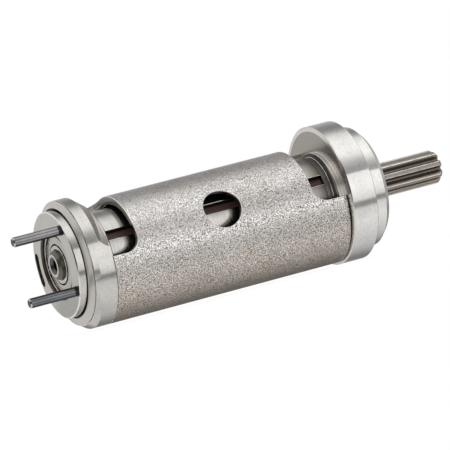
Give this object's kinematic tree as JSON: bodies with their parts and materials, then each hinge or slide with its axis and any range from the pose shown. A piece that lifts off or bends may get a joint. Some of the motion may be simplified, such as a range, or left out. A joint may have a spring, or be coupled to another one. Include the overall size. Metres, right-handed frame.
{
  "type": "vane air motor",
  "caption": "Sliding-vane air motor cartridge: ported eccentric cylinder between a flanged front plate and a pinned rear plate, with a toothed output pinion.",
  "frame": {"origin": "on the rotor axis, in the plane of the front flange's seating shoulder", "axes": "+X along the rotor axis towards the output pinion, +Z towards the thin side of the eccentric cylinder, -Y towards the side that the exhaust ports face"},
  "size_m": [0.1953, 0.058, 0.058],
  "materials": {
    "cylinder_iron": "blasted, fine sandy grain, warm light grey",
    "plate_steel": "turned and ground, satin",
    "rotor_steel": "ground, bright; darker on the teeth",
    "vane_laminate": "fabric laminate, dark brown, oiled",
    "bearing_steel": "ground and polished",
    "shield_steel": "pressed sheet, satin",
    "cage_brass": "machined",
    "pin_steel": "hardened, dark",
    "ring_steel": "phosphated, dark"
  },
  "bodies": {
    "housing": {"cylinder": "cylinder_iron", "front_end_plate": "plate_steel", "rear_end_plate": "plate_steel", "front_bearing_outer_ring": "bearing_steel", "front_bearing_rear_shield": "shield_steel", "front_bearing_front_shield": "shield_steel", "rear_bearing_outer_ring": "bearing_steel", "rear_bearing_rear_shield": "shield_steel", "rear_bearing_front_shield": "shield_steel", "upper_dowel_pin": "pin_steel", "lower_dowel_pin": "pin_steel", "front_locating_dowel": "pin_steel", "rear_locating_dowel": "pin_steel"},
    "rotor": {"rotor": "rotor_steel", "front_bearing_inner_ring": "bearing_steel", "rear_bearing_inner_ring": "bearing_steel", "front_retaining_ring": "ring_steel"},
    "front_cage": {"front_bearing_cage": "cage_brass", "front_bearing_balls": "bearing_steel"},
    "rear_cage": {"rear_bearing_cage": "cage_brass", "rear_bearing_balls": "bearing_steel"},
    "vane_1": {"vane_1": "vane_laminate"},
    "vane_2": {"vane_2": "vane_laminate"},
    "vane_3": {"vane_3": "vane_laminate"},
    "vane_4": {"vane_4": "vane_laminate"},
    "vane_5": {"vane_5": "vane_laminate"}
  },
  "joints": [
    {"name": "rotor_spin", "type": "hinge", "parent": "housing", "child": "rotor", "pos_m": [-0.0645, 0, 0], "axis": [1, 0, 0], "continuous": true},
    {"name": "front_cage_spin", "type": "hinge", "parent": "housing", "child": "front_cage", "pos_m": [0.0025, 0, 0], "axis": [1, 0, 0], "continuous": true},
    {"name": "rear_cage_spin", "type": "hinge", "parent": "housing", "child": "rear_cage", "pos_m": [-0.12625, 0, 0], "axis": [1, 0, 0], "continuous": true},
    {"name": "vane_1_slide", "type": "slide", "parent": "rotor", "child": "vane_1", "axis": [0, -0.9298, 0.3681], "range_m": [0, 0.00235]},
    {"name": "vane_2_slide", "type": "slide", "parent": "rotor", "child": "vane_2", "axis": [0, -0.6374, -0.7705], "range_m": [0, 0.00235]},
    {"name": "vane_3_slide", "type": "slide", "parent": "rotor", "child": "vane_3", "axis": [0, 0.5358, -0.8443], "range_m": [0, 0.00235]},
    {"name": "vane_4_slide", "type": "slide", "parent": "rotor", "child": "vane_4", "axis": [0, 0.9686, 0.2487], "range_m": [0, 0.00235]},
    {"name": "vane_5_slide", "type": "slide", "parent": "rotor", "child": "vane_5", "axis": [0, 0.0628, 0.998], "range_m": [0, 0.00235]}
  ],
  "couplings": [
    {"joint": "front_cage_spin", "follows": "rotor_spin", "ratio": 0.39872},
    {"joint": "rear_cage_spin", "follows": "rotor_spin", "ratio": 0.381}
  ]
}
